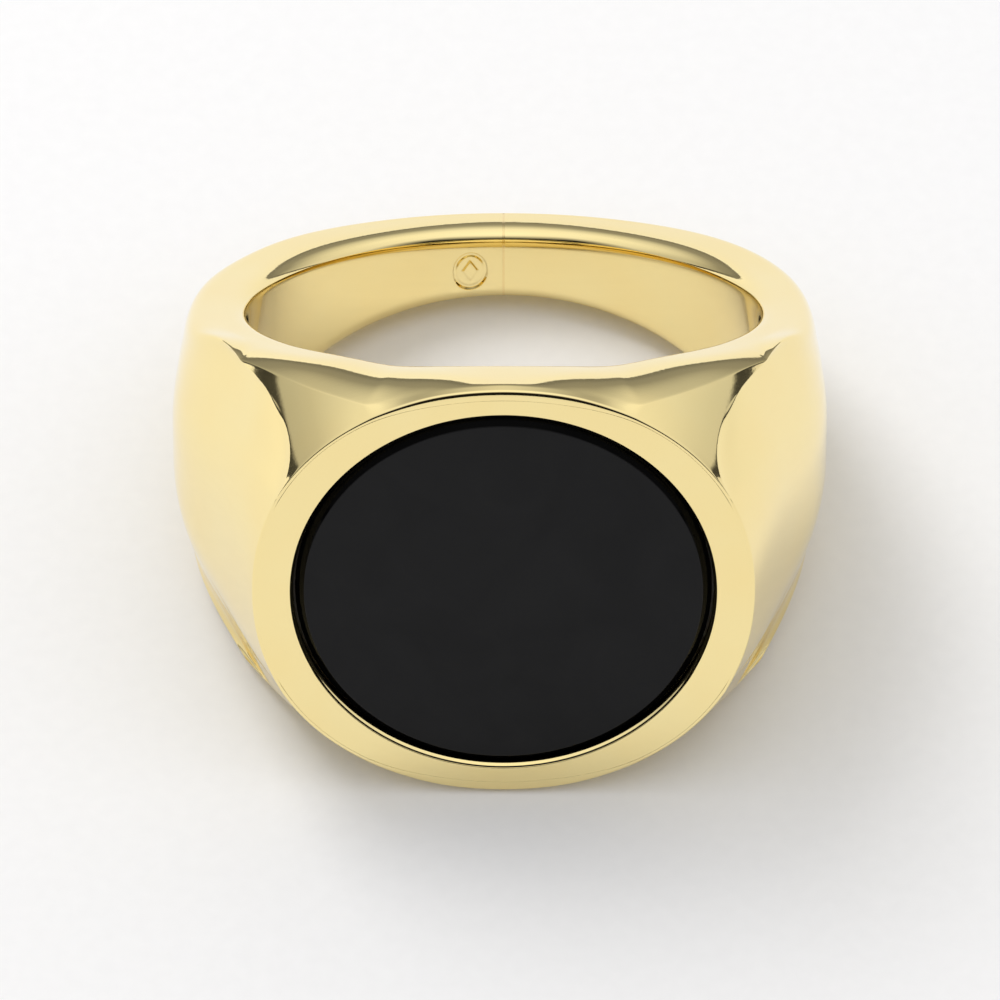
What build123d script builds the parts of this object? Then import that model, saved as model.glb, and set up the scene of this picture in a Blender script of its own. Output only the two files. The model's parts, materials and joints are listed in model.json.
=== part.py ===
"""A gold signet ring with a round black onyx tablet, lying on its side.

The ring is drawn about its finger axis and then laid down on the lower of its two sides.
Ring coordinates: x across the face, y along the finger axis, z out of the face. Millimetres.
"""
import os
from math import atan2, cos, radians, sin, sqrt, tan

from build123d import *

os.makedirs("parts", exist_ok=True)

# Finger hole.
finger_radius = 9.9

# Width of the ring: half of it at the back, beside the finger axis and at the face.
face_height = 13.0
back_height = -11.9
back_half_width = 1.45
middle_half_width = 4.52
face_half_width = 9.0

# Outer surface: angle from the back, distance from the finger axis, radius of the crown.
shank_stations = [
    (0, 12.0, 3.9),
    (35, 12.3, 7.2),
    (65, 12.35, 10.8),
    (90, 12.45, 16.0),
    (110, 13.05, 16.0),
    (126, 13.75, 15.0),
    (144, 16.07, 14.0),
    (151, 17.8, 14.0),
]
blank_inner_radius = 8.5
overlap = 0.5

# Face: the flat frame around the stone, and the corners that slope away under it.
face_half_length = 9.44
corner_slope = 30.0
corner_allowance = 0.12
corner_depth = 26.0

# Bezel: a collar sunk into the head like a countersunk screw, with a sleeve under it.
bezel_margin = 0.06
collar_depth = 0.8
collar_shoulder = 0.15
sleeve_radius = 8.2
seat_radius = 7.95
seat_depth = 1.6

# Stone, and the cement under it and around it.
stone_radius = 7.88
stone_bevel = 0.35
stone_recess = 0.05
cement_thickness = 0.15
cement_climb = 0.95

# Solder in the cut where the shank was closed to size, and the punched cartouche beside it.
solder_width = 0.12
mark_angle = -7.7
mark_half_width = 0.75
mark_half_height = 0.95
mark_depth = 0.12

# The ring lies on the chord from its back edge to its face edge.
side_slope = (face_half_width - back_half_width) / (face_height - back_height)
lie_angle = atan2(side_slope, 1)
axis_height = (face_half_width - face_height * side_slope) * cos(lie_angle)
reach_front = face_height * cos(lie_angle) + face_half_width * sin(lie_angle)
reach_back = -back_height * cos(lie_angle)

ring = Plane(
    origin=(0, (reach_front - reach_back) / 2, axis_height),
    x_dir=(1, 0, 0),
    z_dir=(0, -cos(lie_angle), sin(lie_angle)),
)
# Looking along the finger axis, and looking across the ring with x out of the face.
hole_plane = Plane(origin=ring.origin, x_dir=ring.x_dir, z_dir=-ring.y_dir)
side_plane = Plane(origin=ring.origin, x_dir=ring.z_dir, z_dir=ring.x_dir)

collar_floor = face_height - collar_depth
seat_floor = face_height - seat_depth
stone_floor = seat_floor + cement_thickness
stone_top = face_height - stone_recess
head_block_half_length = face_height * tan(radians(180 - shank_stations[-1][0])) + overlap
corner_spread = corner_depth * tan(radians(corner_slope))
far = 3 * face_height


def face_plane(height):
    """The plane parallel to the face, at a height over the finger axis."""
    return ring.offset(height)


def outwards(angle):
    """The direction away from the finger axis, at an angle from the back."""
    return ring.x_dir * sin(radians(angle)) - ring.z_dir * cos(radians(angle))


def crowned_section(angle, distance, crown_radius):
    """One section of the shank, from inside the finger hole to the crowned outer surface.

    It is a little wider than the ring, and the hollow sides trim it.
    """
    height = -distance * cos(radians(angle))
    half = back_half_width + (height - back_height) * side_slope + overlap
    edge = distance - crown_radius + sqrt(crown_radius**2 - half**2)
    direction = outwards(angle)
    plane = Plane(origin=ring.origin, x_dir=direction, z_dir=direction.cross(ring.y_dir))
    with BuildSketch(plane) as section:
        with BuildLine():
            ThreePointArc((edge, -half), (distance, 0), (edge, half))
            Polyline((edge, half), (blank_inner_radius, half))
            Polyline((blank_inner_radius, half), (blank_inner_radius, -half))
            Polyline((blank_inner_radius, -half), (edge, -half))
        make_face()
    return section.sketch.face()


# The four corners of the head slope away from the edge of the oval face.
with BuildPart() as corner_cone:
    with BuildSketch(face_plane(face_height)):
        Ellipse(face_half_length + corner_allowance, face_half_width)
    with BuildSketch(face_plane(face_height - corner_depth)):
        Ellipse(face_half_length + corner_spread, face_half_width + corner_spread)
    loft()

# The ring's outer form, before the finger hole and the seat are cut.
with BuildPart() as blank:
    other_side = [(-angle, distance, crown) for angle, distance, crown in shank_stations[:0:-1]]
    loft([crowned_section(*station) for station in other_side + shank_stations])
    # The head closes the gap between the two ends of the shank.
    with BuildSketch(hole_plane):
        Polygon(
            (0, -overlap),
            (head_block_half_length, face_height),
            (-head_block_half_length, face_height),
            align=None,
        )
    extrude(amount=face_half_width + overlap, both=True)
    # Both sides are slightly hollow, so the ring lies on its back edge and its head.
    with BuildSketch(side_plane):
        with BuildLine():
            hollow = ThreePointArc(
                (back_height, back_half_width),
                (0, middle_half_width),
                (face_height, face_half_width),
            )
            Polyline(hollow @ 1, (face_height, 0), (-far, 0), (-far, back_half_width), hollow @ 0)
        make_face()
        mirror(about=Plane.XZ)
    extrude(amount=far, both=True, mode=Mode.INTERSECT)
    add(corner_cone.part, mode=Mode.INTERSECT)

# The bezel before its seat is cut: the collar's edge is the line around the face.
with BuildPart() as bezel_plug:
    with BuildSketch(face_plane(face_height)):
        Ellipse(face_half_length - bezel_margin, face_half_width - bezel_margin)
    with BuildSketch(face_plane(collar_floor)):
        Circle(sleeve_radius + collar_shoulder)
    loft()
    with BuildSketch(face_plane(seat_floor)):
        Circle(sleeve_radius)
    extrude(amount=collar_floor - seat_floor)

# The casting, closed all round, with the finger hole and the bezel's seat.
with BuildPart() as casting:
    add(blank.part)
    with BuildSketch(hole_plane):
        Circle(finger_radius)
    extrude(amount=far, both=True, mode=Mode.SUBTRACT)
    add(bezel_plug.part, mode=Mode.SUBTRACT)
    wall_plane = Plane(
        origin=ring.origin + outwards(mark_angle) * (finger_radius - mark_depth),
        x_dir=ring.y_dir,
        z_dir=outwards(mark_angle),
    )
    with BuildSketch(wall_plane):
        Ellipse(mark_half_height, mark_half_width)
    extrude(amount=2 * mark_depth, mode=Mode.SUBTRACT)

# The thin slab at the back of the shank that the solder fills.
with BuildPart() as cut:
    with BuildSketch(hole_plane):
        Rectangle(solder_width, far, align=(Align.CENTER, Align.MAX))
    extrude(amount=far, both=True)

with BuildPart() as ring_body:
    add(casting.part)
    add(cut.part, mode=Mode.SUBTRACT)

with BuildPart() as sizing_solder:
    add(casting.part)
    add(cut.part, mode=Mode.INTERSECT)

with BuildPart() as bezel:
    add(bezel_plug.part)
    with BuildSketch(face_plane(seat_floor)):
        Circle(seat_radius)
    extrude(amount=far, mode=Mode.SUBTRACT)

with BuildPart() as onyx_tablet:
    with BuildSketch(face_plane(stone_floor)):
        Circle(stone_radius)
    extrude(amount=stone_top - stone_floor)
    chamfer(onyx_tablet.edges().sort_by(Axis(ring.origin, ring.z_dir))[-1], stone_bevel)

# The cement bed, with the little that climbed the gap around the stone.
with BuildPart() as stone_cement:
    with BuildSketch(face_plane(seat_floor)):
        Circle(seat_radius)
    extrude(amount=cement_climb)
    with BuildSketch(face_plane(stone_floor)):
        Circle(stone_radius)
    extrude(amount=far, mode=Mode.SUBTRACT)

ring_body.part.label = "ring_body"
export_step(ring_body.part, "parts/ring_body.step")

sizing_solder.part.label = "sizing_solder"
export_step(sizing_solder.part, "parts/sizing_solder.step")

bezel.part.label = "bezel"
export_step(bezel.part, "parts/bezel.step")

onyx_tablet.part.label = "onyx_tablet"
export_step(onyx_tablet.part, "parts/onyx_tablet.step")

stone_cement.part.label = "stone_cement"
export_step(stone_cement.part, "parts/stone_cement.step")
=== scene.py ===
"""Looks for a gold signet ring with a round black onyx tablet.

Shapes are worked out in ring coordinates, in millimetres: x across the face, y along the finger
axis, z out of the face. Angles are in degrees. They run round the finger axis from the back of the
shank or, for the face, round its middle from +x.
"""

import json
import math

import bmesh
import bpy
import numpy as np
from mathutils import Matrix, Vector


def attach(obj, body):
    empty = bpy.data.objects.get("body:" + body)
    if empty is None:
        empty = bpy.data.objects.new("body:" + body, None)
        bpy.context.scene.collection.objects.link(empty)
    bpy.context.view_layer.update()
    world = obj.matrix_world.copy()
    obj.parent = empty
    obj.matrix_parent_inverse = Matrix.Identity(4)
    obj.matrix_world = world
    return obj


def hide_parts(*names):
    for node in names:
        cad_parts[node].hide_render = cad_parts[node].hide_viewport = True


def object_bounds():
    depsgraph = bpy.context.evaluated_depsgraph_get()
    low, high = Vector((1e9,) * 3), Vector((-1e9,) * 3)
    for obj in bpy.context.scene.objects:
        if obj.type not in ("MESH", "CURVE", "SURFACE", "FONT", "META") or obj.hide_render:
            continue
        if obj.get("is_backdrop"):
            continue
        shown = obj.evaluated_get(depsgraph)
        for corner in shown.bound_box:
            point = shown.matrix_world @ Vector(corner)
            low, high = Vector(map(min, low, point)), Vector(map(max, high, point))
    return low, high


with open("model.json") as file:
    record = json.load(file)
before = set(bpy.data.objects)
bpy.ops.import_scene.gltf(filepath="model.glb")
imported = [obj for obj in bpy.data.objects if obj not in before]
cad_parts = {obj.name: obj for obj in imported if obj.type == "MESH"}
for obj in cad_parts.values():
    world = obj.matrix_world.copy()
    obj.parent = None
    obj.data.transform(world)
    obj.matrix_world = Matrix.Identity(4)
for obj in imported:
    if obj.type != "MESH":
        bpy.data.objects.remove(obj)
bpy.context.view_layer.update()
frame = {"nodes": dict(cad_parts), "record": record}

MM = 0.001
hole = frame["record"]["mounts"][0]
RING_Y = Vector(hole["axis"])
RING_X = Vector((1, 0, 0))
RING_Z = RING_X.cross(RING_Y)
RING_ORIGIN = Vector(hole["pos_m"])
HOLE_R = hole["dims"]["r_mm"]
RING = Matrix.Translation(RING_ORIGIN) @ Matrix((RING_X, RING_Y, RING_Z)).transposed().to_4x4()

# The face, and under it the collar, the sleeve and the seat of the bezel.
FACE_Z, COLLAR_Z, SEAT_Z = 13.0, 12.2, 11.4
BACK_R, SLEEVE_R, SEAT_R = 8.35, 8.2, 7.95
STONE_R = 7.88


# ---------------------------------------------------------------- curves and interpolation

def cubic(knots, values):
    """A smooth curve through the values, flat at its first knot."""
    x, v = np.array(knots, float), np.array(values, float)
    v = v.reshape(len(x), -1)
    h, n = np.diff(x), len(x)
    a, b = np.zeros((n, n)), np.zeros(v.shape)
    a[0, :2], a[-1, -1] = (2, 1), 1
    b[0] = 3 * (v[1] - v[0]) / h[0] / h[0]
    for i in range(1, n - 1):
        a[i, i - 1 : i + 2] = h[i - 1], 2 * (h[i - 1] + h[i]), h[i]
        b[i] = 3 * ((v[i + 1] - v[i]) / h[i] - (v[i] - v[i - 1]) / h[i - 1])
    c = np.linalg.solve(a, b)

    def at(t):
        t = np.atleast_1d(np.asarray(t, float))
        i = np.clip(np.searchsorted(x, t) - 1, 0, n - 2)
        d = (t - x[i])[:, None]
        hi = h[i][:, None]
        slope = (v[i + 1] - v[i]) / hi - hi * (2 * c[i] + c[i + 1]) / 3
        return (v[i] + slope * d + c[i] * d**2 + (c[i + 1] - c[i]) / (3 * hi) * d**3).squeeze()

    return at


def natural(points):
    """A smooth curve through points in space, by its share of the length from 0 to 1."""
    p = np.array(points, float)
    s = np.concatenate([[0], np.cumsum(np.linalg.norm(np.diff(p, axis=0), axis=1))])
    x = s / s[-1]
    h, n = np.diff(x), len(x)
    a, b = np.eye(n), np.zeros(p.shape)
    for i in range(1, n - 1):
        a[i, i - 1 : i + 2] = h[i - 1], 2 * (h[i - 1] + h[i]), h[i]
        b[i] = 3 * ((p[i + 1] - p[i]) / h[i] - (p[i] - p[i - 1]) / h[i - 1])
    c = np.linalg.solve(a, b)

    def at(t):
        i = int(np.clip(np.searchsorted(x, t) - 1, 0, n - 2))
        d = t - x[i]
        slope = (p[i + 1] - p[i]) / h[i] - h[i] * (2 * c[i] + c[i + 1]) / 3
        return p[i] + slope * d + c[i] * d**2 + (c[i + 1] - c[i]) / (3 * h[i]) * d**3

    at.length = s[-1]
    return at


def smooth(low, high, t):
    """Rises gently from 0 at low to 1 at high."""
    u = min(max((t - low) / (high - low), 0), 1)
    return u * u * (3 - 2 * u)


def lerp(a, b, t):
    return a + (b - a) * t


# ---------------------------------------------------------------- the ring's own surfaces

# Outer surface along its middle: distance from the finger axis, and radius of the crown across it.
RHO = cubic(
    [0, 35, 65, 90, 110, 126, 144, 148],
    [12.10, 12.52, 12.58, 12.50, 13.10, 13.71, 16.1, 16.95],
)
CROWN = cubic(
    [0, 35, 65, 90, 110, 126, 136, 141, 144.5, 147.5],
    [4.2, 8.6, 13.0, 17.0, 17.2, 16.5, 14.6, 12.0, 10.0, 9.9],
)
# The shoulders are rounder in the middle and straighter towards their creases.
KNEE_Y, KNEE = 6.4, 1.45
KNEE_FROM, KNEE_TO = 100, 132

# Half the ring's width, by the height over the finger axis.
SIDE = cubic(
    [-13, -9, -6, -3, 0, 3, 6, 8, 10, 12, 12.6, 13],
    [1.2, 2.02, 2.756, 3.5885, 4.52, 5.55, 6.68, 7.50, 8.30, 9.02, 9.21, 9.33],
)
# Slight waves that hand polishing left on the sides: depth, distance from the middle, width, height.
WAVES = [(0.06, 0, 1.8, 10.0), (-0.17, 4.1, 1.7, 9.1)]
WAVE_REACH = 1.3
CLEAR_OF_WAVES = 20

# The face's outline: half its length and width, its squareness, and how far its sides swell.
RIM_A, RIM_B, RIM_N, RIM_SWELL = 9.5, 9.0, 2.15, 0.12
# Where the shoulder's crease and the end of the side's crease meet the outline.
RIM_CORNER, RIM_SIDE, RIM_MIDDLE = 27.0, 58.4, 90.0

# Slope of the corners that fall away from the face's outline, by the angle round the face.
FALL = cubic([24, 34, 42, 50, 58, 62], [2.2, 2.2, 2.05, 1.90, 1.65, 1.55])


def on_circle(r, angle, z):
    """A point at a distance from the middle of the face."""
    return np.array([r * math.cos(math.radians(angle)), r * math.sin(math.radians(angle)), z])


def round_face(p):
    """The angle of a point round the middle of the face."""
    return math.degrees(math.atan2(p[1], p[0]))


def angle_of(p):
    """The angle of a point round the finger axis."""
    return math.degrees(math.atan2(abs(p[0]), -p[2]))


def towards_side(angle):
    """0 on the parts of the face's outline over the shoulders, and 1 on those over the sides."""
    return smooth(54, 78, min(angle % 180, 180 - angle % 180))


def rim(angle, inset=0.0, z=FACE_Z):
    """A point of the face's outline, or inside it."""
    c, s = abs(math.cos(math.radians(angle))), abs(math.sin(math.radians(angle)))
    r = ((c / (RIM_A - inset)) ** RIM_N + (s / (RIM_B - inset)) ** RIM_N) ** (-1 / RIM_N)
    return on_circle(r + RIM_SWELL * towards_side(angle), angle, z)


def face_gap(x, y):
    """How far a point lies outside the face's outline, looking down on the face."""
    edge = rim(round_face((x, y)))
    return math.hypot(x, y) - math.hypot(edge[0], edge[1])


def on_corner(x, y):
    """The point of the sloping corner below x, y."""
    return np.array([x, y, FACE_Z - float(FALL(round_face((x, y)))) * face_gap(x, y)])


# Where the shoulder, the side and the sloping corner meet, and the creases that start there.
TIP = (10.0, 6.86)
SHOULDER_LINE = natural([
    TIP, (9.0, 6.86), (8.37, 6.76), (8.05, 6.38), (7.96, 6.07), (7.97, 5.76), (8.04, 5.41),
    (8.23, 4.90), tuple(rim(RIM_CORNER)[:2]),
])
SIDE_LINE = natural([TIP, (9.53, 7.08), (8.3, 7.50), (7.08, 7.80), (5.86, 8.06), (5.1, 8.17)])
side_crease = natural([on_corner(*SIDE_LINE(t)) for t in np.linspace(0, 1, 11)])
top_crease = natural([
    tuple(side_crease(1)), (4.0, 8.44, 12.5), (2.86, 8.80, 12.52), (1.4, 9.08, 12.55), (0, 9.18, 12.56),
])
CREASE_LENGTH = side_crease.length + top_crease.length
END_ANGLE = angle_of(side_crease(0))


def shoulder_crease(t):
    """A point of the edge between the shoulder and the sloping corner."""
    return on_corner(*SHOULDER_LINE(t))


def crease(mm):
    """A point of the edge between the side and the corner, then between the side and the head's top."""
    if mm <= side_crease.length:
        return side_crease(mm / side_crease.length)
    return top_crease((mm - side_crease.length) / top_crease.length)


def rim_angle(mm):
    """The angle at which a line down the corner from the crease reaches the face's outline."""
    first = side_crease.length
    if mm <= first:
        return lerp(RIM_CORNER, RIM_SIDE, mm / first)
    return lerp(RIM_SIDE, RIM_MIDDLE, (mm - first) / (CREASE_LENGTH - first))


def outer(angle, y):
    """A point of the crowned outer surface."""
    crown = float(CROWN(angle))
    full = crown - math.sqrt(max(crown * crown - KNEE_Y**2, 0))
    knee = full * (math.sqrt(1 + (KNEE * y / KNEE_Y) ** 2) - 1) / (math.sqrt(1 + KNEE**2) - 1)
    arc = crown - math.sqrt(max(crown * crown - y * y, 0))
    d = float(RHO(angle)) - lerp(arc, knee, smooth(KNEE_FROM, KNEE_TO, angle))
    return np.array([d * math.sin(math.radians(angle)), y, -d * math.cos(math.radians(angle))])


def side_height(x, z):
    """Half the ring's width, with its waves."""
    waves = sum(
        depth * math.exp(-(((abs(x) - middle) / width) ** 2) - ((z - height) / WAVE_REACH) ** 2)
        for depth, middle, width, height in WAVES
    )
    return float(SIDE(z)) + waves


def side_edge(angle):
    """The corner between the side and the outer surface, drawn in to the tip near the head."""
    y, tip_from, rounds = 4.0, 106, 12
    for _ in range(rounds):
        y = side_height(CLEAR_OF_WAVES, outer(angle, y)[2])
    return outer(angle, lerp(y, TIP[1], smooth(tip_from, END_ANGLE, angle)))


# ---------------------------------------------------------------- the body's cage

# A quarter of the body is drawn as columns of points. Two points close together hold an edge sharp
# when the cage is subdivided, so each edge has a support: the distance to the point next to it.

# Rounding of the finger hole's edge, across the side and into the hole, by the angle from the back.
ROUND_SIDE = cubic([0, 40, 70, 95, 115, 130, 180], [1.85, 1.70, 1.25, 0.92, 0.60, 0.48, 0.48])
ROUND_HOLE = cubic([0, 40, 70, 95, 115, 130, 180], [1.10, 1.05, 0.86, 0.70, 0.55, 0.48, 0.48])
# Support of the edge between the side and the outer surface, by the angle from the back.
EDGE_SUPPORT = cubic([0, 40, 70, 100, 117, 123, 127], [0.30, 0.45, 1.0, 1.35, 1.1, 0.5, 0.12])
# Supports along the creases and the face's outline.
CREASE_SUPPORT, TOP_SUPPORT, RIM_SUPPORT = 0.09, 0.26, 0.30
# How far the side curves over before its edge: at the shoulder, and by the distance along the crease.
SHOULDER_BEND = 1.25
BEND = cubic([0, 1.1, 3.5, 5.5, 7.2, 10.0, 12.6], [1.25, 1.25, 1.9, 2.8, 3.3, 1.5, 1.3])

# The shoulder's columns, and its end: down the crease to the face's outline, then to its middle.
SHOULDER_COLUMNS = 26
CORNER_ROWS = [0, 0.02, 0.2, 0.4, 0.6, 0.8, 0.955, 1]
RIM_ROWS = [0.96, 0.75, 0.5, 0.25, 0]
END = [shoulder_crease(t) for t in CORNER_ROWS] + [rim(RIM_CORNER * share) for share in RIM_ROWS]
END_SUPPORT = [0.10, 0.12, 0.24, 0.30, 0.30, 0.26, 0.12, 0.06, 0.05, 0.05, 0.05, 0.05, 0.05]
END_R = 13.5
# The corner's columns, by the distance along the side's crease and then from its end.
SIDE_MM = [0.12, 0.55, 1.2, 2.0, 2.9, 3.8, 4.7, 5.6, 6.4, 7.0]
TOP_MM = [0.35, 0.8, 1.4, 2.1, 2.9, 3.8, 4.6]
# Rows of points across the hole's wall, across the side and down the corner.
CROSS_ROWS = 6

# Width of the body's lip outside the bezel, and of its soft edge: over the shoulders, over the sides.
LIP, LIP_SOFT = (0.12, 0.40), (0.05, 0.32)
POCKET_Z = SEAT_Z - 0.03


def bore_and_side(corner, support, bend_length):
    """Points from the middle of the hole's wall, over its rounded edge, to the side's outer corner."""
    angle = angle_of(corner)
    round_side, round_hole = float(ROUND_SIDE(angle)), float(ROUND_HOLE(angle))
    a = math.radians(angle)
    inner = np.array([HOLE_R * math.sin(a), -HOLE_R * math.cos(a)])
    outer_xz = corner[[0, 2]]
    length = np.linalg.norm(outer_xz - inner)
    hole_y = side_height(inner[0], inner[1])
    drop = side_height(outer_xz[0], outer_xz[1]) - corner[1]
    start = max(0.0, 1 - bend_length / length)
    rows = np.linspace(0, hole_y - round_hole, CROSS_ROWS)
    points = [np.array([inner[0], y, inner[1]]) for y in rows]
    points.append(np.array([inner[0], hole_y, inner[1]]))
    support = min(support, 0.62 * (length - round_side))
    for t in [*np.linspace(round_side / length, 1 - support / length, CROSS_ROWS), 1.0]:
        x, z = lerp(inner, outer_xz, t)
        bend = max(0.0, (t - start) / (1 - start)) ** 2
        points.append(np.array([x, side_height(x, z) - drop * bend, z]))
    return points


def shoulder_column(share, supports=False):
    """Points of the outer surface from its side edge to its middle, at a share of the way to its end."""
    points, last = [], len(END) - 1
    for k, end in enumerate(END):
        g = 1 - math.degrees(END_SUPPORT[k] / END_R) / END_ANGLE if supports else share
        edge = side_edge(END_ANGLE * g)
        angle = END_ANGLE * g + g**3 * (angle_of(end) - END_ANGLE)
        back_y = edge[1]
        if k > 0:
            back_y -= min(float(EDGE_SUPPORT(END_ANGLE * g)), 0.5 * edge[1])
            back_y = back_y * (last - k) / (last - 1)
        p = outer(angle, lerp(back_y, end[1] * edge[1] / END[0][1], smooth(0.55, 1, g)))
        miss = np.hypot(end[0], end[2]) - np.hypot(*outer(angle_of(end), end[1])[[0, 2]])
        scale = 1 + miss * smooth(0.6, 1, g) / np.hypot(p[0], p[2])
        points.append(np.array([p[0] * scale, p[1], p[2] * scale]))
    return points


def top_softness(mm):
    """0 along the crisp crease beside the corner, and 1 along the soft one at the top of the head."""
    return smooth(side_crease.length - 0.3, side_crease.length + 1.6, mm)


def shoulder_stray(t):
    """How the shoulder's crease strays from a straight run: in its angle, and in its gap from the face."""
    start, end, here = (SHOULDER_LINE(share) for share in (0, 1, t))
    angle = round_face(here) - lerp(round_face(start), round_face(end), t)
    return angle, face_gap(*here) / face_gap(*start)


def corner_column(mm):
    """Points of the sloping corner from the side's crease to the face's outline."""
    if mm <= 0:
        return END[: len(CORNER_ROWS)]
    top, low = crease(mm), rim(rim_angle(mm))
    length = np.linalg.norm(low - top)
    start = 1 - smooth(0, 1.2, mm)
    s_top = min(lerp(CREASE_SUPPORT, TOP_SUPPORT, top_softness(mm)) / length, 0.3)
    s_top = lerp(s_top, CORNER_ROWS[1], start)
    s_low = lerp(min(RIM_SUPPORT / length, 0.35), 1 - CORNER_ROWS[-2], start)
    near = max(0.0, 1 - mm / side_crease.length)
    points = [top]
    for t in np.linspace(s_top, 1 - s_low, CROSS_ROWS):
        if near == 0:
            points.append(lerp(top, low, t))
            continue
        stray, narrowing = shoulder_stray(t)
        angle = lerp(round_face(top), rim_angle(mm), t) + near * stray
        edge = rim(angle)
        r = math.hypot(edge[0], edge[1]) + face_gap(top[0], top[1]) * lerp(1 - t, narrowing, near)
        points.append(on_corner(*on_circle(r, angle, 0)[:2]))
    return points + [low]


def lip_inset(angle):
    return lerp(*LIP, towards_side(angle))


def lip_column(angle, edge):
    """Points from the face's outline inwards over the lip, then down the hidden pocket to its middle."""
    lip = lip_inset(angle)
    over = [(lerp(*LIP_SOFT, towards_side(angle)), FACE_Z), (lip - 0.008, FACE_Z), (lip, FACE_Z),
            (lip + 0.002, 12.99), (lip + 0.22, 12.75)]
    down = [(BACK_R + 0.02, COLLAR_Z), (BACK_R - 0.1, COLLAR_Z - 0.05), (SLEEVE_R + 0.02, SEAT_Z),
            (7.9, POCKET_Z), (4.0, POCKET_Z), (1.0, POCKET_Z)]
    return [edge] + [rim(angle, inset, z) for inset, z in over] + [on_circle(r, angle, z) for r, z in down]


def patch(grid):
    """The quads between neighbouring columns of points."""
    return [
        (a[i], b[i], b[i + 1], a[i + 1])
        for a, b in zip(grid[:-1], grid[1:]) for i in range(len(a) - 1)
    ]


def quarter():
    """The faces of a quarter of the body, as corner points."""
    shoulders = [shoulder_column(g) for g in np.arange(SHOULDER_COLUMNS) / SHOULDER_COLUMNS]
    shoulders += [shoulder_column(1, True), END]
    sides = []
    for column in shoulders:
        support = float(EDGE_SUPPORT(min(angle_of(column[0]), END_ANGLE)))
        sides.append(bore_and_side(column[0], support, SHOULDER_BEND))
    lips = [lip_column(RIM_CORNER * share, rim(RIM_CORNER * share)) for share in RIM_ROWS[::-1] + [1]]
    corners = [corner_column(0)]
    first = side_crease.length
    for mm in SIDE_MM + [first] + [first + d for d in TOP_MM] + [CREASE_LENGTH]:
        column = corner_column(mm)
        support = lerp(0.09, 0.30, top_softness(mm)) if mm > 1 else lerp(0.12, 0.09, mm)
        sides.append(bore_and_side(column[0], support, float(BEND(mm))))
        corners.append(column)
        lips.append(lip_column(rim_angle(mm), column[-1]))
    middle = np.array([0, 0, POCKET_Z])
    tips = [column[-1] for column in lips]
    fan = [(a, b, middle) for a, b in zip(tips[:-1], tips[1:])]
    return patch(shoulders) + patch(sides) + patch(corners) + patch(lips) + fan


def mesh_of(name, faces, weld=2e-4):
    """A mesh in the row frame from faces given by their corner points in ring coordinates."""
    bm = bmesh.new()
    cells = {}
    for face in faces:
        verts = []
        for p in face:
            key = tuple(int(round(c / weld)) for c in p)
            if key not in cells:
                cells[key] = bm.verts.new(Vector([float(c) for c in p]) * MM)
            if not verts or verts[-1] is not cells[key]:
                verts.append(cells[key])
        if len(verts) > 2 and len(set(verts)) == len(verts):
            bm.faces.new(verts)
    bmesh.ops.remove_doubles(bm, verts=bm.verts, dist=5e-7)
    bmesh.ops.recalc_face_normals(bm, faces=bm.faces)
    mesh = bpy.data.meshes.new(name)
    bm.to_mesh(mesh)
    bm.free()
    mesh.transform(RING)
    return mesh


def new_piece(name, mesh, material, node, levels=0):
    """Adds a piece that stands for a CAD node, subdivided for good."""
    obj = bpy.data.objects.new(name, mesh)
    bpy.context.scene.collection.objects.link(obj)
    if levels:
        mod = obj.modifiers.new("smooth", "SUBSURF")
        mod.levels = mod.render_levels = levels
        mod.use_limit_surface = True
        bpy.context.view_layer.update()
        done = bpy.data.meshes.new_from_object(obj.evaluated_get(bpy.context.evaluated_depsgraph_get()))
        obj.modifiers.clear()
        obj.data = done
    obj.data.name = name
    obj.data.materials.clear()
    obj.data.materials.append(material)
    obj.data.shade_smooth()
    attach(obj, "root")
    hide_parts(node)
    return obj


# ---------------------------------------------------------------- materials

def nodes_of(name):
    material = bpy.data.materials.new(name)
    material.use_nodes = True
    tree = material.node_tree
    return material, tree, tree.nodes["Principled BSDF"]


def add(tree, kind, inputs=(), **settings):
    node = tree.nodes.new(kind)
    for key, value in settings.items():
        setattr(node, key, value)
    for key, value in dict(inputs).items():
        if isinstance(value, bpy.types.NodeSocket):
            tree.links.new(value, node.inputs[key])
        else:
            node.inputs[key].default_value = value
    return node


def ramp(tree, factor, stops):
    node = add(tree, "ShaderNodeValToRGB", {"Fac": factor})
    elements = node.color_ramp.elements
    while len(elements) < len(stops):
        elements.new(0.5)
    for element, (place, colour) in zip(elements, stops):
        element.position = place
        element.color = (*colour, 1) if len(colour) == 3 else colour
    return node.outputs["Color"]


def grey(value):
    return (value, value, value)


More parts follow.
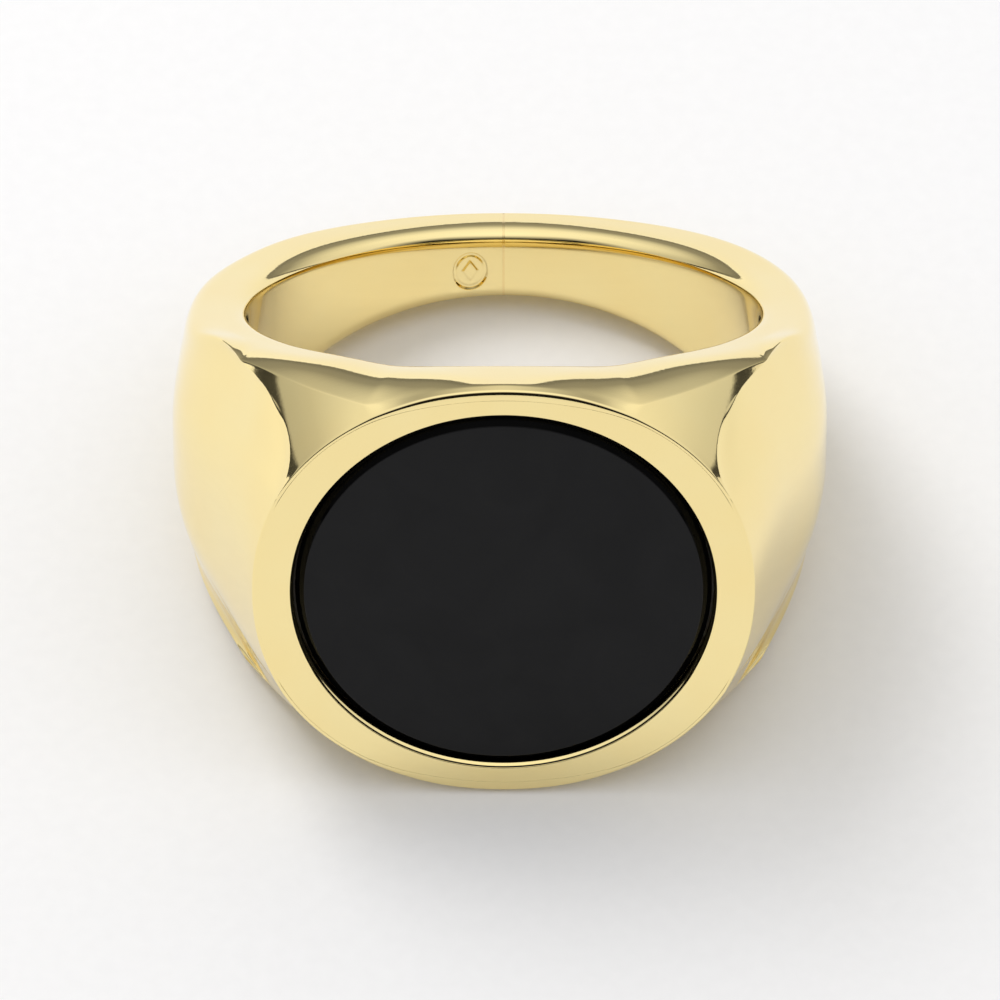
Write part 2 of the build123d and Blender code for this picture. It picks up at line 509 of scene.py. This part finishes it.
def gold(name, tint, rough, scratch):
    """Polished gold: a faint haze, hairline scratches from the buff, and soft waves in the surface."""
    material, tree, shader = nodes_of(name)
    place = add(tree, "ShaderNodeTexCoord").outputs["Object"]
    cloud = add(tree, "ShaderNodeTexNoise", {"Vector": place, "Scale": 260.0, "Detail": 3.0})
    warm = tuple(c * k for c, k in zip(tint, (1.0, 0.975, 0.93)))
    colour = ramp(tree, cloud.outputs["Fac"], [(0.35, tint), (0.7, warm)])
    tree.links.new(colour, shader.inputs["Base Color"])
    stretched = add(tree, "ShaderNodeMapping", {"Vector": place, "Scale": (900.0, 9000.0, 9000.0)})
    hairs = add(tree, "ShaderNodeTexNoise", {
        "Vector": stretched.outputs["Vector"], "Scale": 1.0, "Detail": 2.0})
    haze = ramp(tree, hairs.outputs["Fac"], [(0.3, grey(rough * 0.85)), (0.75, grey(rough * 1.35))])
    tree.links.new(haze, shader.inputs["Roughness"])
    bump = add(tree, "ShaderNodeBump", {"Height": hairs.outputs["Fac"], "Strength": scratch, "Distance": 2e-6})
    waves = add(tree, "ShaderNodeTexNoise", {"Vector": place, "Scale": 420.0, "Detail": 1.0})
    bump2 = add(tree, "ShaderNodeBump", {
        "Height": waves.outputs["Fac"], "Strength": 0.25, "Distance": 1.2e-5, "Normal": bump.outputs["Normal"]})
    tree.links.new(bump2.outputs["Normal"], shader.inputs["Normal"])
    shader.inputs["Metallic"].default_value = 1.0
    return material


GOLD = (0.955, 0.80, 0.40)
casting_gold = gold("casting_gold", GOLD, 0.055, 0.3)
bezel_gold = gold("bezel_gold", GOLD, 0.07, 0.3)
solder_gold = gold("solder_gold", (0.93, 0.74, 0.36), 0.12, 0.5)


def onyx_material(name, dark, light, haze_low, haze_high, gloss):
    """Black onyx with faint darker banding and a lapped, slightly hazy polish."""
    material, tree, shader = nodes_of(name)
    place = add(tree, "ShaderNodeTexCoord").outputs["Object"]
    bands = add(tree, "ShaderNodeTexNoise", {
        "Vector": place, "Scale": 350.0, "Detail": 4.0, "Distortion": 0.8})
    colour = ramp(tree, bands.outputs["Fac"], [(0.3, dark), (0.75, light)])
    tree.links.new(colour, shader.inputs["Base Color"])
    fine = add(tree, "ShaderNodeTexNoise", {"Vector": place, "Scale": 6000.0, "Detail": 2.0})
    haze = ramp(tree, fine.outputs["Fac"], [(0.3, grey(haze_low)), (0.8, grey(haze_high))])
    tree.links.new(haze, shader.inputs["Roughness"])
    bump = add(tree, "ShaderNodeBump", {"Height": fine.outputs["Fac"], "Strength": 0.08, "Distance": 1e-6})
    tree.links.new(bump.outputs["Normal"], shader.inputs["Normal"])
    shader.inputs["Specular IOR Level"].default_value = gloss
    return material


def cement_material():
    """Dark, lumpy cement."""
    material, tree, shader = nodes_of("dark_cement")
    place = add(tree, "ShaderNodeTexCoord").outputs["Object"]
    lumps = add(tree, "ShaderNodeTexNoise", {"Vector": place, "Scale": 4000.0, "Detail": 4.0})
    colour = ramp(tree, lumps.outputs["Fac"], [(0.3, (0.012, 0.008, 0.005)), (0.8, (0.05, 0.032, 0.018))])
    tree.links.new(colour, shader.inputs["Base Color"])
    haze = ramp(tree, lumps.outputs["Fac"], [(0.3, grey(0.35)), (0.8, grey(0.6))])
    tree.links.new(haze, shader.inputs["Roughness"])
    bump = add(tree, "ShaderNodeBump", {"Height": lumps.outputs["Fac"], "Strength": 0.6, "Distance": 2e-5})
    tree.links.new(bump.outputs["Normal"], shader.inputs["Normal"])
    return material


# ---------------------------------------------------------------- pieces

def mirrored(faces):
    """A quarter's faces repeated in all four quarters."""
    every = []
    for sx in (1, -1):
        for sy in (1, -1):
            flip = np.array([sx, sy, 1])
            every += [tuple(p * flip for p in face) for face in faces]
    return every


body = new_piece("signet_body", mesh_of("signet_body", mirrored(quarter())), casting_gold,
                 "ring_body", levels=2)


MARK_ANGLE, MARK_Y, MARK_A, MARK_B = -7.7, -0.12, 0.68, 0.84


def mark_depth(a, b):
    """Depth of the punched cartouche: a groove round an oval field with a lozenge standing in it."""
    oval = math.hypot(a / MARK_A, b / MARK_B)
    groove = (1 - smooth(0.95, 1.05, oval)) * smooth(0.76, 0.86, oval)
    lozenge = 1 - smooth(0.85, 1.15, abs(a) / 0.30 + abs(b) / 0.46)
    return 0.055 * groove + 0.028 * (1 - smooth(0.76, 0.86, oval)) * (1 - lozenge)


def finish_body(obj):
    """Leans the shoulders a little to the left, as hand finishing does, and punches the cartouche."""
    to_ring = RING.inverted()
    bm = bmesh.new()
    bm.from_mesh(obj.data)
    marked = []
    for vert in bm.verts:
        p = to_ring @ vert.co / MM
        reach = smooth(9.7, 12.3, abs(p.x))
        p.x -= (0.21 if p.x < 0 else 0.08) * reach
        vert.co = RING @ (p * MM)
    for face in bm.faces:
        p = to_ring @ face.calc_center_median() / MM
        radius = math.hypot(p.x, p.z)
        arc = math.radians(math.degrees(math.atan2(p.x, -p.z)) - MARK_ANGLE) * HOLE_R
        if radius < HOLE_R + 0.02 and abs(arc) < MARK_A * 1.25 and abs(p.y - MARK_Y) < 0.95 and p.z < 0:
            marked.append(face)
    bm.edges.index_update()
    edges = sorted({e for face in marked for e in face.edges}, key=lambda e: e.index)
    corners = {v for face in marked for v in face.verts}
    radius = sum(math.hypot(*(to_ring @ v.co / MM).xz) for v in corners) / len(corners)
    bmesh.ops.subdivide_edges(bm, edges=edges, cuts=5, use_grid_fill=True)
    for vert in bm.verts:
        p = to_ring @ vert.co / MM
        angle = math.atan2(p.x, -p.z)
        far = abs(angle - math.radians(MARK_ANGLE)) * HOLE_R > MARK_A * 1.3 or abs(p.y - MARK_Y) > 0.95
        if far or math.hypot(p.x, p.z) > HOLE_R + 0.02:
            continue
        arc = (angle - math.radians(MARK_ANGLE)) * HOLE_R
        r = radius + mark_depth(arc, p.y - MARK_Y)
        vert.co = RING @ (Vector((r * math.sin(angle), p.y, -r * math.cos(angle))) * MM)
    bm.to_mesh(obj.data)
    bm.free()
    obj.data.shade_smooth()


def solder_seam(obj):
    """Faces of the thin soldered seam that runs round the back of the shank, a hair proud of it."""
    to_ring = RING.inverted()
    loop = [to_ring @ v.co / MM for v in obj.data.vertices]
    loop = [p for p in loop if abs(p.x) < 1e-4 and p.z < -9]
    middle = Vector((0, 0, -11.0))
    loop.sort(key=lambda p: math.atan2(p.y, p.z - middle.z))
    n = len(loop)
    faces, rings = [], []
    for i, p in enumerate(loop):
        along = (loop[(i + 1) % n] - loop[i - 1]).normalized()
        out = Vector((0, along.z, -along.y))
        if out.dot(p - middle) < 0:
            out = -out
        ripple = 0.003 * math.sin(i * 0.9) * math.sin(i * 0.37)
        section = [(-0.060, -0.012), (-0.045, 0.001), (0, 0.004 + ripple), (0.045, 0.001), (0.060, -0.012),
                   (0.055, -0.08), (-0.055, -0.08)]
        rings.append([np.array(p + out * h + Vector((x, 0, 0))) for x, h in section])
    for a, b in zip(rings, rings[1:] + rings[:1]):
        for k in range(len(a)):
            after = (k + 1) % len(a)
            faces.append((a[k], a[after], b[after], b[k]))
    return faces


finish_body(body)


def turned(rows, columns=96):
    """Faces of a turned form, from rows that each give a point at an angle round the face."""
    angles = [360.0 * i / columns for i in range(columns)]
    faces = []
    grid = [[row(a) for row in rows] for a in angles]
    for i in range(columns):
        a, b = grid[i], grid[(i + 1) % columns]
        for k in range(len(rows) - 1):
            faces.append((a[k], b[k], b[k + 1], a[k + 1]))
    return faces


def ring_row(r, z):
    return lambda a: on_circle(r, a, z)


def rim_row(inset, z=FACE_Z):
    return lambda a: rim(a, lip_inset(a) + inset, z)


def mix_row(inset, r, share, z=FACE_Z):
    return lambda a: lerp(rim(a, lip_inset(a) + inset, z), ring_row(r, z)(a), share)


BEZEL_INSET = 0.004
bezel_rows = [
    ring_row(SLEEVE_R, SEAT_Z + 0.05), ring_row(SLEEVE_R, 11.8), ring_row(SLEEVE_R, COLLAR_Z - 0.02),
    ring_row(BACK_R - 0.02, COLLAR_Z), ring_row(BACK_R, COLLAR_Z + 0.02),
    mix_row(BEZEL_INSET, BACK_R, 0.5, 12.6), rim_row(BEZEL_INSET + 0.1, 12.88),
    rim_row(BEZEL_INSET, FACE_Z - 0.008), rim_row(BEZEL_INSET), rim_row(BEZEL_INSET + 0.008),
    rim_row(BEZEL_INSET + 0.06), mix_row(BEZEL_INSET, SEAT_R, 0.33), mix_row(BEZEL_INSET, SEAT_R, 0.66),
    mix_row(BEZEL_INSET, SEAT_R, 0.80), ring_row(SEAT_R + 0.17, FACE_Z), ring_row(SEAT_R + 0.12, FACE_Z),
    ring_row(SEAT_R + 0.11, 12.95), ring_row(SEAT_R + 0.11, 12.91), ring_row(SEAT_R + 0.08, 12.87),
    ring_row(SEAT_R + 0.01, 12.79), ring_row(SEAT_R, 12.76), ring_row(SEAT_R, 12.7),
    ring_row(SEAT_R, 12.2), ring_row(SEAT_R, 11.7),
    ring_row(SEAT_R, SEAT_Z + 0.03), ring_row(SEAT_R + 0.02, SEAT_Z), ring_row(SLEEVE_R - 0.02, SEAT_Z),
    ring_row(SLEEVE_R, SEAT_Z + 0.05),
]
collar = new_piece("bezel_collar", mesh_of("bezel_collar", turned(bezel_rows)), bezel_gold,
                   "bezel", levels=2)

STONE_TOP, BEVEL, STONE_FLOOR = 12.95, 0.35, 11.55
stone_rows = [
    ring_row(0, STONE_TOP), ring_row(2, STONE_TOP), ring_row(4, STONE_TOP), ring_row(6, STONE_TOP),
    ring_row(7.2, STONE_TOP), ring_row(STONE_R - BEVEL - 0.03, STONE_TOP), ring_row(STONE_R - BEVEL, STONE_TOP),
    ring_row(STONE_R - BEVEL + 0.025, STONE_TOP - 0.025), ring_row(STONE_R - 0.18, STONE_TOP - 0.17),
    ring_row(STONE_R - 0.02, STONE_TOP - BEVEL + 0.02), ring_row(STONE_R, STONE_TOP - BEVEL),
    ring_row(STONE_R, STONE_TOP - BEVEL - 0.03), ring_row(STONE_R, 12.1), ring_row(STONE_R, STONE_FLOOR + 0.05),
    ring_row(STONE_R, STONE_FLOOR), ring_row(STONE_R - 0.1, STONE_FLOOR), ring_row(4, STONE_FLOOR),
    ring_row(0, STONE_FLOOR),
]
stone = new_piece("black_onyx_tablet", mesh_of("black_onyx_tablet", turned(stone_rows)),
                  onyx_material("onyx_top", (0.0080, 0.0080, 0.0085), (0.0110, 0.0110, 0.0115),
                                0.17, 0.25, 0.12),
                  "onyx_tablet", levels=2)
# The bevel gets a darker, less reflective copy of the onyx. Its finer polish is the stone's own. Its darker
# colour and weaker reflection are painted shade for the dark gap round the stone.
stone.data.materials.append(onyx_material(
    "onyx_bevel_painted_shade", (0.0010, 0.0010, 0.0011), (0.0018, 0.0018, 0.0019), 0.08, 0.12, 0.03))
# Faces on the bevel take the darker copy, which is painted shade.
for face in stone.data.polygons:
    place = RING.inverted() @ face.center / MM
    if math.hypot(place.x, place.y) > STONE_R - BEVEL + 0.01:
        face.material_index = 1

cement = frame["nodes"]["stone_cement"]
cement.data.materials.clear()
cement.data.materials.append(cement_material())
seam = new_piece("sizing_solder_seam", mesh_of("sizing_solder_seam", solder_seam(body)), solder_gold,
                 "sizing_solder")


# ---------------------------------------------------------------- stage, light and camera

def floor_piece(lowest):
    """A pale paper floor, level with the ring's lowest point."""
    bm = bmesh.new()
    bmesh.ops.create_grid(bm, x_segments=8, y_segments=8, size=0.3)
    mesh = bpy.data.meshes.new("floor")
    bm.to_mesh(mesh)
    bm.free()
    obj = bpy.data.objects.new("floor", mesh)
    obj.location.z = lowest
    bpy.context.scene.collection.objects.link(obj)
    material, tree, shader = nodes_of("pale_paper")
    place = add(tree, "ShaderNodeTexCoord").outputs["Object"]
    grain = add(tree, "ShaderNodeTexNoise", {"Vector": place, "Scale": 1500.0, "Detail": 3.0})
    colour = ramp(tree, grain.outputs["Fac"], [(0.3, (0.875, 0.875, 0.88)), (0.8, (0.895, 0.895, 0.90))])
    tree.links.new(colour, shader.inputs["Base Color"])
    shader.inputs["Roughness"].default_value = 0.9
    shader.inputs["Specular IOR Level"].default_value = 0.1
    mesh.materials.append(material)
    obj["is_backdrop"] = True


floor_piece(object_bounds()[0].z)


def math_node(tree, operation, *values):
    node = add(tree, "ShaderNodeMath", operation=operation)
    for i, value in enumerate(values):
        if isinstance(value, bpy.types.NodeSocket):
            tree.links.new(value, node.inputs[i])
        else:
            node.inputs[i].default_value = value
    return node.outputs[0]


def mix_colour(tree, factor, a, b):
    node = add(tree, "ShaderNodeMix", data_type="RGBA")
    for i, value in ((0, factor), (6, a), (7, b)):
        if isinstance(value, bpy.types.NodeSocket):
            tree.links.new(value, node.inputs[i])
        else:
            node.inputs[i].default_value = value if i == 0 else (*value, 1)
    return node.outputs[2]


def studio():
    """A pale room: bright overhead, a dark low band all round, and a dark side where the camera stands."""
    world = bpy.data.worlds.new("studio")
    bpy.context.scene.world = world
    world.use_nodes = True
    tree = world.node_tree
    tree.nodes.clear()
    direction = add(tree, "ShaderNodeTexCoord").outputs["Generated"]
    axes = add(tree, "ShaderNodeSeparateXYZ", {"Vector": direction})
    x, y, z = axes.outputs
    height = math_node(tree, "MULTIPLY", math_node(tree, "ARCSINE", z), 2 / math.pi)
    left = ramp(tree, height, [
        (0.0, grey(0.02)), (0.040, grey(0.02)), (0.062, grey(0.62)), (0.2, grey(0.68)),
        (0.4, grey(0.95)), (1.0, grey(1.25))])
    right = ramp(tree, height, [
        (0.0, grey(0.02)), (0.022, grey(0.02)), (0.042, grey(0.84)), (0.2, grey(0.88)),
        (0.4, grey(0.98)), (1.0, grey(1.25))])
    to_right = ramp(tree, math_node(tree, "MULTIPLY_ADD", x, 0.5, 0.5), [(0.4, grey(0)), (0.6, grey(1))])
    sides = mix_colour(tree, to_right, left, right)
    back = ramp(tree, height, [
        (0.0, grey(0.22)), (0.05, grey(0.30)), (0.12, grey(0.34)), (0.3, grey(0.8)),
        (0.5, grey(1.1)), (1.0, grey(1.25))])
    front = ramp(tree, height, [
        (0.0, grey(0.01)), (0.45, grey(0.01)), (0.6, grey(0.5)), (0.75, grey(1.1)), (1.0, grey(1.25))])
    y_squared = math_node(tree, "ADD", math_node(tree, "MULTIPLY", y, y), 1e-6)
    flat = math_node(tree, "SQRT", math_node(tree, "ADD", math_node(tree, "MULTIPLY", x, x), y_squared))
    facing = math_node(tree, "DIVIDE", y, flat)
    to_back = ramp(tree, math_node(tree, "MULTIPLY_ADD", facing, 0.5, 0.5), [(0.6, grey(0)), (0.9, grey(1))])
    to_front = ramp(tree, math_node(tree, "MULTIPLY_ADD", facing, -0.5, 0.5), [(0.62, grey(0)), (0.85, grey(1))])
    room = mix_colour(tree, to_front, mix_colour(tree, to_back, sides, back), front)
    mirrored_ray = add(tree, "ShaderNodeLightPath").outputs["Is Glossy Ray"]
    # The gold mirrors the room as it is, and the floor is lit more evenly.
    even = mix_colour(tree, 0.30, (0.90, 0.895, 0.895), room)
    background = add(tree, "ShaderNodeBackground", {
        "Color": mix_colour(tree, mirrored_ray, even, room),
        "Strength": 0.92})
    out = add(tree, "ShaderNodeOutputWorld")
    tree.links.new(background.outputs[0], out.inputs[0])


studio()


def softbox(name, place, target, size, power, colour=(1, 1, 1)):
    data = bpy.data.lights.new(name, "AREA")
    data.shape = "RECTANGLE"
    data.size, data.size_y = size
    data.energy = power
    data.color = colour
    obj = bpy.data.objects.new(name, data)
    bpy.context.scene.collection.objects.link(obj)
    obj.location = Vector(place)
    obj.rotation_euler = (Vector(target) - Vector(place)).to_track_quat("-Z", "Y").to_euler()
    obj.visible_glossy = False
    return obj


softbox("key", (-0.24, 0.26, 0.44), (0, 0, 0), (0.26, 0.26), 1.30, (1.0, 0.99, 0.98))


def photo_camera():
    """Four hundred millimetres from the finger hole's middle, looking down on the face."""
    distance, tilt = 400.0, math.radians(33.35)
    per_mm = 25.77
    data = bpy.data.cameras.new("camera")
    camera = bpy.data.objects.new("camera", data)
    bpy.context.scene.collection.objects.link(camera)
    axes = RING.to_3x3()
    to_camera = axes @ Vector((0, math.sin(tilt), math.cos(tilt)))
    up = axes @ Vector((0, math.cos(tilt), -math.sin(tilt)))
    target = RING_ORIGIN + (RING_X * (-3.5 / per_mm) - up * (95.5 / per_mm)) * MM
    camera.location = RING_ORIGIN + to_camera * distance * MM
    camera.rotation_mode = "QUATERNION"
    camera.rotation_quaternion = (target - camera.location).to_track_quat("-Z", "Y")
    data.sensor_width = 36.0
    data.lens = 0.036 * per_mm * distance
    data.clip_start, data.clip_end = 0.01, 20.0
    bpy.context.scene.camera = camera


photo_camera()
bpy.context.scene.view_settings.view_transform = "Standard"
